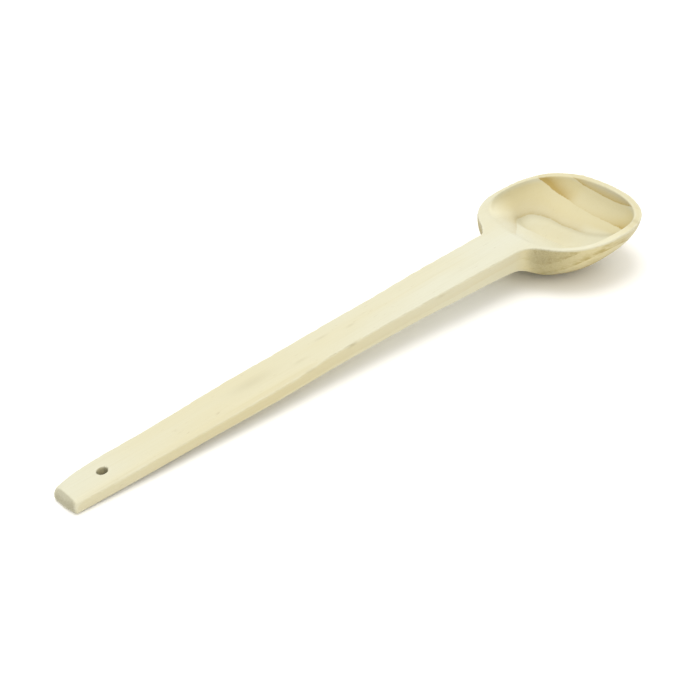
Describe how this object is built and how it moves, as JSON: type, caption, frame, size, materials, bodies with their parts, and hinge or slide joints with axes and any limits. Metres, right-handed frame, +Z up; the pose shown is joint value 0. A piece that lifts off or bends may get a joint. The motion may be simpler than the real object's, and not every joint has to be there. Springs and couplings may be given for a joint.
{
  "type": "wooden cooking spoon",
  "caption": "Long-handled carved wooden cooking spoon with a deep egg-shaped bowl, a flat tapered handle and a drilled hanging hole.",
  "frame": {"origin": "middle of the spoon's bounding box, on the table that it lies on", "axes": "+X along the handle towards the bowl, +Y across to the side that the tip leans to, +Z up from the table"},
  "size_m": [0.3972, 0.0932, 0.034],
  "materials": {
    "bare_pine": "matt, bare and unvarnished, sanded smooth"
  },
  "bodies": {
    "root": {"carved_spoon": "bare_pine"}
  },
  "joints": []
}
